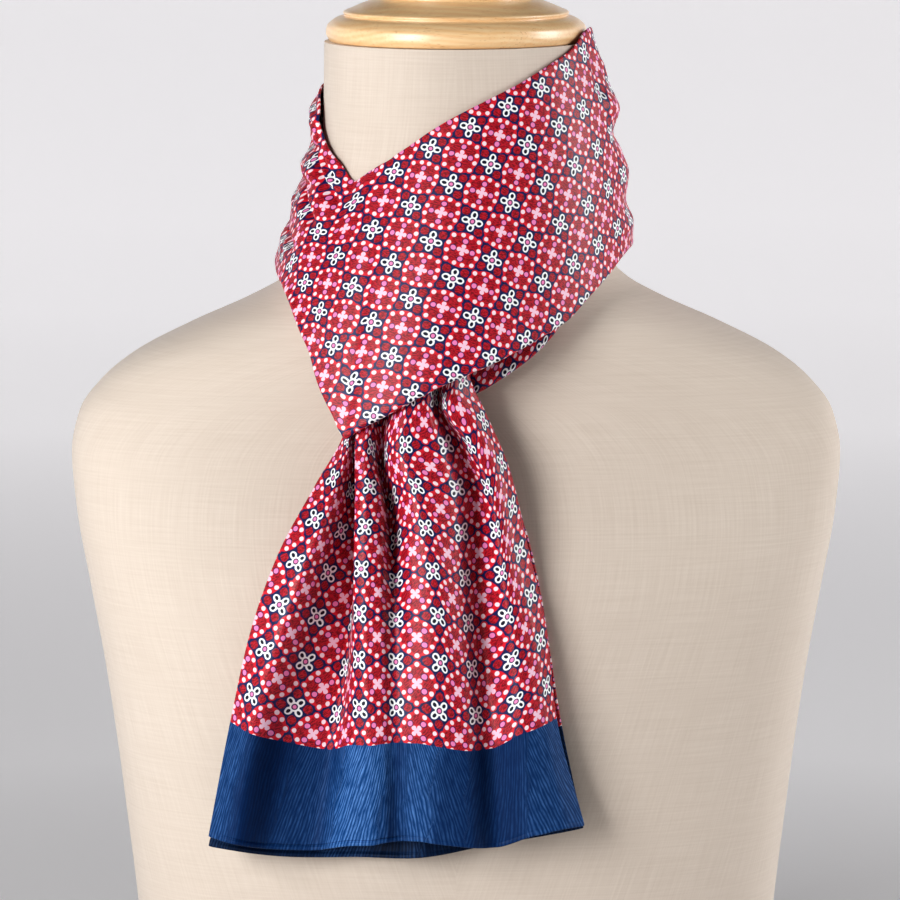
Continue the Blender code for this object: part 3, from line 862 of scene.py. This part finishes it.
def linen_cover():
    """Cream linen with uneven threads both ways, a little darker where both run thin."""
    made = Material("linen_cover", Roughness=0.85, Sheen_Weight=0.25, Sheen_Roughness=0.6)
    across, down = made.flat_place()
    warp_slub = made.noise(made.vector(across * 1.1, down * 0.03, 4.0), detail=3.0)
    weft_slub = made.noise(made.vector(across * 0.03, down * 1.1, 9.0), detail=3.0)
    threads = warp_slub * 0.5 + weft_slub * 0.5
    tone = threads.ramp(0.5, 1.6, 0.5)
    broad = made.noise(made.vector(across, down, 2.0), scale=0.02)
    light = made.mix(colour(227, 215, 202), colour(219, 206, 192), broad)
    made.base_colour(made.mix(colour(204, 189, 174), light, tone))
    made.bump(threads, 0.12 * MM, 0.8)
    return made.material


def turned_beech():
    """Varnished light beech: a board's grain along X, cut through by the turning."""
    made = Material("turned_beech", Roughness=0.4, Coat_Weight=1.0, Coat_Roughness=0.32)
    x, y, z = made.object_place()
    bend = made.noise(made.vector(x * 6.0, y * 14.0, z * 14.0))
    from_pith = distance(y + bend * 0.02, z * 1.6 + bend * 0.03, 0.05, 0.62)
    fibre = made.noise(made.vector(x * 18.0, y * 520.0, z * 520.0), detail=3.0)
    pores = made.noise(made.vector(x * 120.0, y * 1900.0, z * 1900.0), detail=1.0)
    grain = from_pith.waves(RING_PITCH) * 0.16 + fibre * 0.7 + 0.15
    tint = made.mix(colour(255, 226, 180), colour(240, 188, 128), grain)
    fleck = pores.ramp(0.62, 8.0, 0.0) * 0.5
    made.base_colour(made.mix(tint, colour(184, 124, 72), fleck))
    made.bump(fibre, 0.05 * MM, 0.3)
    return made.material


# Dress form

def form_surface(heights):
    """Rings of the form at the given heights, in order."""
    turn = 2 * math.pi * np.arange(FORM_SIDES) / FORM_SIDES
    side = np.sin(turn)[None, :]
    ahead = np.cos(turn)[None, :]
    half_width, front, back, squareness = (
        column[:, None] for column in read_table(FORM_RINGS, heights))
    power = 2 / squareness
    x = half_width * np.sign(side) * np.abs(side) ** power * MM
    reach = np.where(ahead > 0, front, back)
    y = -reach * np.sign(ahead) * np.abs(ahead) ** power * MM
    z = heights[:, None] * MM + 0 * x
    lean = np.maximum(0, (z - LEAN_START) / (NECK_TOP - LEAN_START)) * math.tan(NECK_LEAN)
    return np.stack([x, y, z + y * lean], axis=-1)


def build_form():
    """The linen cover, closed at the neck and at the flat underside."""
    edge_heights, insets = zip(*FORM_EDGE)
    heights = np.concatenate([edge_heights, np.arange(6, 330, 3.5), np.arange(331, 501, 2.0), [500]])
    heights = np.unique(heights)[::-1]
    surface = form_surface(heights)
    rounding = np.interp(heights, edge_heights, insets)[:, None] * MM
    outline = unit(surface[..., :2])
    surface[..., :2] -= outline * rounding[..., None]
    rows, columns = surface.shape[:2]
    closed = np.concatenate([surface, surface[:, :1]], axis=1)
    girth = run_length(closed, axis=1)
    along = (girth - girth[:, [columns // 2]]) / MM
    chart = np.stack([along, np.repeat(heights[:, None], columns + 1, axis=1)], axis=-1)
    quads, corners = grid_quads(rows, columns, True)
    mesh = new_mesh("form_cover", surface.reshape(-1, 3), quads, chart[corners])
    close_rings(mesh, columns, rows)
    mesh.materials.append(linen_cover())
    place(add("form_cover", mesh), "linen", "form_torso")


def close_rings(mesh, columns, rows):
    """Adds one flat face over the first ring and one under the last."""
    work = bmesh.new()
    work.from_mesh(mesh)
    work.verts.ensure_lookup_table()
    for first, order in ((0, range(columns)), ((rows - 1) * columns, range(columns - 1, -1, -1))):
        face = work.faces.new([work.verts[first + index] for index in order])
        face.smooth = True
    work.to_mesh(mesh)
    work.free()
    mesh.set_sharp_from_angle(angle=math.radians(50))


def build_cap():
    """The turned cap, its outline rounded between the corners of its grooves."""
    outline = np.array(CAP_OUTLINE)
    profile = [outline[0]]
    for start, end in zip(CAP_CORNERS, CAP_CORNERS[1:]):
        stretch = outline[start:end + 1]
        length = run_length(stretch)
        places = np.linspace(0, length[-1], max(2, int(length[-1] / CAP_STEP)))[1:]
        if end - start < 2:
            places = length[1:]
        profile += list(smooth_curve(length, stretch.T)(places).T)
    cap = turned_piece("form_cap", np.array(profile) * MM, CAP_SIDES, 0.05 * MM, turned_beech())
    cap.rotation_euler.x = NECK_LEAN
    cap.location = (0, -math.sin(NECK_LEAN) * CAP_SEAT_GAP,
                    NECK_TOP + math.cos(NECK_LEAN) * CAP_SEAT_GAP)
    place(cap, "beech", "form_neck_cap")


# Stretch round the neck

def crease_rise(angle, height, radius):
    """How far the creases move the cloth out at each place, in metres."""
    total = np.zeros_like(radius)
    for fold in WRAP_FOLDS:
        for turn in (-360, 0, 360):
            along_x = math.radians(fold.angle_b - fold.angle_a) * radius
            along_y = (fold.height_b - fold.height_a) * MM
            offset_x = np.radians(angle + turn - fold.angle_a) * radius
            offset_y = height - fold.height_a * MM
            square = along_x ** 2 + along_y ** 2
            part = (offset_x * along_x + offset_y * along_y) / square
            aside = (offset_x * along_y - offset_y * along_x) / np.sqrt(square)
            past_end = np.maximum(0, np.abs(part - 0.5) - CREASE_FULL / 2)
            fade = np.exp(-(past_end / CREASE_FADE) ** 2)
            total += fold.rise * MM * fade * np.exp(-(aside / (fold.width * MM)) ** 2)
    return total


def with_turned_edge(radius, height, turn):
    """The cloth with its lower edge turned in and up behind it, as a round fold and a flap."""
    falls = np.stack([radius[-1] - radius[-2], height[-1] - height[-2]])
    down = falls / np.hypot(*falls)
    inward = np.stack([down[1], -down[0]])
    centre = np.stack([radius[-1], height[-1]]) + inward * turn
    swings = TURN_UNDER * np.arange(1, TURN_STEPS + 1) / TURN_STEPS
    lip = [centre + turn * (down * math.sin(swing) - inward * math.cos(swing)) for swing in swings]
    flap_way = down * math.cos(TURN_UNDER) + inward * math.sin(TURN_UNDER)
    reaches = TURN_FLAP * np.arange(1, FLAP_STEPS + 1) / FLAP_STEPS
    lip += [lip[-1] + reach * flap_way for reach in reaches]
    lip_radius, lip_height = np.stack(lip, axis=1)
    return np.concatenate([radius, lip_radius]), np.concatenate([height, lip_height])


def polar_points(angle, radius, height):
    turn = np.radians(angle)
    return np.stack([radius * np.sin(turn), -radius * np.cos(turn), height], axis=-1)


def wrap_angles():
    """Angles of the stretch's columns, closest where the cloth is gathered."""
    stops, steps = zip(*WRAP_COLUMN_STEPS)
    parts = [np.linspace(start, end, round((end - start) / step), endpoint=False)
             for start, end, step in zip(stops, stops[1:], steps)]
    return np.concatenate(parts)


def form_radius(angle, height):
    """Distance of the dress form's side from its axis."""
    half_width, front, back, squareness = read_table(FORM_RINGS, height / MM)
    turn = np.radians(angle)
    reach = np.where(np.cos(turn) > 0, front, back)
    side = np.abs(np.sin(turn)) / half_width
    ahead = np.abs(np.cos(turn)) / reach
    return MM / (side ** squareness + ahead ** squareness) ** (1 / squareness)


def form_depth(x, height):
    """Depth of the dress form's front ahead of its axis."""
    half_width, front, _, squareness = read_table(FORM_RINGS, height / MM)
    side = np.minimum(1, np.abs(x / MM) / half_width)
    return front * (1 - side ** squareness) ** (1 / squareness) * MM


def wrap_sheet(rows, angles, part):
    """Radius, height and edge's turn of a stretch without creases, from upper edge to lower fold."""
    top_height, top_radius, low_height, low_radius, belly, turn = (
        column[None, :] * MM for column in read_table(rows, angles))
    low_height = low_height + turn
    height = top_height + (low_height - top_height) * part
    radius = top_radius + (low_radius - top_radius) * part + belly * np.sin(math.pi * part)
    return radius, height, turn[0]


def eased_chart(surface, chart, hold):
    """Moves the chart's points until their distances match the surface's, held where hold is high."""
    every = slice(None)
    before = slice(None, -1)
    after = slice(1, None)
    links = (((every, before), (every, after)), ((before, every), (after, every)),
             ((before, before), (after, after)), ((before, after), (after, before)))
    lengths = [np.linalg.norm(surface[far] - surface[near], axis=-1) for near, far in links]
    eased = chart.copy()
    for _ in range(EASE_STEPS):
        move = np.zeros_like(eased)
        count = np.zeros(eased.shape[:2] + (1,))
        for (near, far), length in zip(links, lengths):
            gap = eased[far] - eased[near]
            reach = np.linalg.norm(gap, axis=-1)
            share = ((reach - length) / reach / 2)[..., None] * gap
            move[near] += share
            move[far] -= share
            count[near] += 1
            count[far] += 1
        eased += EASE_REACH * move / count
        eased += hold * (chart - eased)
    return eased


def wrap_chart(angles, part):
    """The stretch's flat chart at the given angles and parts of its height."""
    keys = np.linspace(-180, 180, EASE_COLUMNS)
    rows = np.linspace(0, 1, EASE_ROWS)
    radius, height, _ = wrap_sheet(WRAP_ROWS, keys, rows[:, None])
    surface = polar_points(keys, radius, height) / MM
    top_along, top_down, low_along, low_down = (
        column[None, :] for column in read_table(PRINT_ROWS, keys))
    chart = np.stack([top_along + (low_along - top_along) * rows[:, None],
                      top_down + (low_down - top_down) * rows[:, None]], axis=-1)
    hold = np.where((keys > PRINT_HELD[0]) & (keys < PRINT_HELD[1]), PRINT_HOLD, 0.0)
    hold[[0, -1]] = 1
    eased = eased_chart(surface, chart, hold[None, :, None])
    fine = smooth_curve(keys, np.moveaxis(eased, 1, 2))(angles)
    fine = smooth_curve(rows, np.moveaxis(fine, 0, 2))(part)
    return np.transpose(fine, (2, 1, 0))


def build_wrap(material):
    """The whole stretch round the neck, as one closed band."""
    angles = wrap_angles()
    part = np.linspace(0, 1, WRAP_STEPS)
    radius, height, turn = wrap_sheet(WRAP_ROWS, angles, part[:, None])
    settle = np.sin(math.pi / 2 * np.minimum(1, np.minimum(0.3 + part * 6, (1 - part) * 5)))
    radius = radius + crease_rise(angles, height, radius) * settle[:, None]
    clear = form_radius(angles, height) + CLOTH_WALL + WRAP_CLEARANCE
    radius = np.maximum(radius, clear)
    radius, height = with_turned_edge(radius, height, turn)
    surface = polar_points(angles, radius, height)

    chart = wrap_chart(np.append(angles, 180.0), part)
    fall_chart = unit(chart[-1] - chart[-2])
    lip_run = run_length(surface[WRAP_STEPS - 1:])[1:] / MM
    lip_run = np.concatenate([lip_run, lip_run[:, :1]], axis=1)
    chart = np.concatenate([chart, chart[-1] + lip_run[..., None] * fall_chart])
    piece = cloth_shell("cravat_wrap", surface, chart, material, closed=True)
    place(piece, "printed_silk", "wrap_front", "wrap_back")


def build_under(material):
    """The stretch behind the hanging ends, with its flat chart measured along and down it."""
    angles = np.linspace(UNDER_ROWS[0].angle, UNDER_ROWS[-1].angle, UNDER_COLUMNS)
    part = np.linspace(0, 1, UNDER_STEPS)[:, None]
    surface = polar_points(angles, *with_turned_edge(*wrap_sheet(UNDER_ROWS, angles, part)))
    along = run_length(surface[UNDER_STEPS - 1]) / MM
    along = along - np.interp(UNDER_FLOWER_ANGLE, angles, along)
    down = run_length(surface) / MM
    down = down - down[UNDER_STEPS + UNDER_FLOWER_STEP]
    chart = np.stack([np.broadcast_to(along, down.shape), down], axis=-1)
    piece = cloth_shell("cravat_under", surface, chart, material)
    place(piece, "printed_silk", "wrap_under")


# Hanging ends

def tail_surface(folds, stations, lengths, places):
    """Points and flat chart of a hanging end, for lengths down it and flat places across it."""
    stops = [station.length for station in stations]
    middle = [station.name for station in stations].index("middle")
    flats = [np.broadcast_to(fold.printed, len(stops))[middle] for fold in folds]

    def over_cloth(column):
        """A column of the folds' table at every length and flat place."""
        values = [np.broadcast_to(getattr(fold, column), len(stops)) for fold in folds]
        return smooth_curve(flats, smooth_curve(stops, values)(lengths).T)(places)

    left, centre, right = (
        smooth_curve(stops, [getattr(station, side) for station in stations])(lengths)[:, None]
        for side in ("left", "centre", "right"))
    part = 2 * places[None, :] / flats[-1] - 1
    z = centre + part * (right - left) / 2 + part ** 2 * ((right + left) / 2 - centre)
    z = z - over_cloth("fall")
    x = over_cloth("across")
    y = -over_cloth("depth")
    chart_across = over_cloth("printed") - TAIL_FLOWER[0]
    chart_up = BORDER - lengths[:, None] - TAIL_FLOWER[1] + 0 * x
    return np.stack([x, y, z], axis=-1) * MM, np.stack([chart_across, chart_up], axis=-1)


def hem_plies(lengths, part):
    """How far in the cloth lies between the two plies of the hem, which part toward the left."""
    apart = np.interp(part, *zip(*PLY_PARTING))
    line = np.exp(-((HEM - PLY_WIDTH - lengths) / PLY_GROOVE) ** 2)
    return apart * line * PLY_DEPTH


def build_tail(name, folds, stations, step, materials):
    """A hanging end and its navy band, which meet face to face at the border."""
    width = folds[-1].printed
    places = np.linspace(0, width, int(width / step) + 1)
    stretches = (
        (name, TUCK, BORDER, materials[0], "printed_silk", ("bottom",)),
        (name + "_band", BORDER, HEM, materials[1], "navy_silk", ("top",)),
    )
    for node, start, end, material, slot, flat_ends in stretches:
        lengths = np.linspace(start, end, int((end - start) / (step * 1.1)) + 1)
        if end == HEM:
            lengths = np.concatenate([lengths[lengths < HEM - PLY_REACH],
                                      np.linspace(HEM - PLY_REACH, HEM, PLY_ROWS)])
        surface, chart = tail_surface(folds, stations, lengths, places)
        surface[..., 1] += hem_plies(lengths[:, None], places[None, :] / width)
        clear = form_depth(surface[..., 0], surface[..., 2]) + CLOTH_WALL + TAIL_CLEARANCE
        surface[..., 1] = np.minimum(surface[..., 1], -clear)
        piece = cloth_shell("cravat_" + node, surface, chart, material, flat_ends=flat_ends)
        place(piece, slot, node)
        (end - start) * MM


# Stage, light and camera

def build_stage():
    """A pale floor that runs up into a round wall, far enough out for every view."""
    made = Material("studio_paper", Roughness=0.9, Base_Color=colour(226, 225, 226),
                    Emission_Color=colour(226, 224, 226))
    x, y, _ = made.object_place()
    outward = distance(x, y).ramp(0.25, 1.6, 0.1)
    behind = y.ramp(0.0, 0.3, 0.2).higher(0.08)
    made.fill(made.shader, Emission_Strength=outward * behind * PAPER_GLOW)
    turned_piece("studio_cove", COVE_OUTLINE, COVE_SIDES, 0.1 * MM, made.material)


def build_light():
    """A faint grey world and two soft boxes that face the cravat."""
    world = bpy.data.worlds.new("studio")
    world.use_nodes = True
    background = world.node_tree.nodes["Background"].inputs
    background["Color"].default_value = colour(235, 236, 240)
    background["Strength"].default_value = WORLD_STRENGTH
    bpy.context.scene.world = world
    for box in SOFT_BOXES:
        light = bpy.data.lights.new(box.name, "AREA")
        light.shape = "RECTANGLE"
        light.size = box.width
        light.size_y = box.height
        light.energy = box.power
        lamp = add(box.name, light)
        side = math.radians(box.azimuth)
        rise = math.radians(box.elevation)
        out = box.away * math.cos(rise)
        lamp.location = (out * math.sin(side), -out * math.cos(side),
                         LIT_HEIGHT + box.away * math.sin(rise))
        lamp.rotation_euler = (math.pi / 2 - rise, 0, side)


def build_camera():
    camera = bpy.data.cameras.new("camera")
    camera.sensor_width = SENSOR
    camera.lens = SENSOR * CAMERA_DISTANCE / PIXEL_SIZE / IMAGE_SIDE
    eye = add("camera", camera)
    x, y, z = CAMERA_TARGET
    eye.location = (x, y - CAMERA_DISTANCE * math.cos(CAMERA_PITCH),
                    z + CAMERA_DISTANCE * math.sin(CAMERA_PITCH))
    eye.rotation_euler = (math.pi / 2 - CAMERA_PITCH, 0, 0)
    bpy.context.scene.camera = eye


def main():
    view = bpy.context.scene.view_settings
    view.view_transform = "Standard"
    view.look = "Medium High Contrast"
    build_camera()
    build_light()
    build_stage()
    build_form()
    build_cap()
    printed = printed_silk()
    front_navy = navy_silk("navy_silk", colour(8, 38, 80), colour(15, 74, 134), 0.62)
    # The back end's band: the navy silk painted darker, as painted shade where the front end shades
    # it, with a weaker painted highlight
    back_navy_painted_shade = navy_silk("navy_silk_back_painted_shade", colour(4, 20, 44), colour(8, 40, 78), 0.2)
    build_wrap(printed)
    build_under(printed)
    build_tail("tail_back", BACK_FOLDS, BACK_STATIONS, 1.6, (printed, back_navy_painted_shade))
    build_tail("tail_front", FRONT_FOLDS, FRONT_STATIONS, 1.0,
               (printed, front_navy))


main()
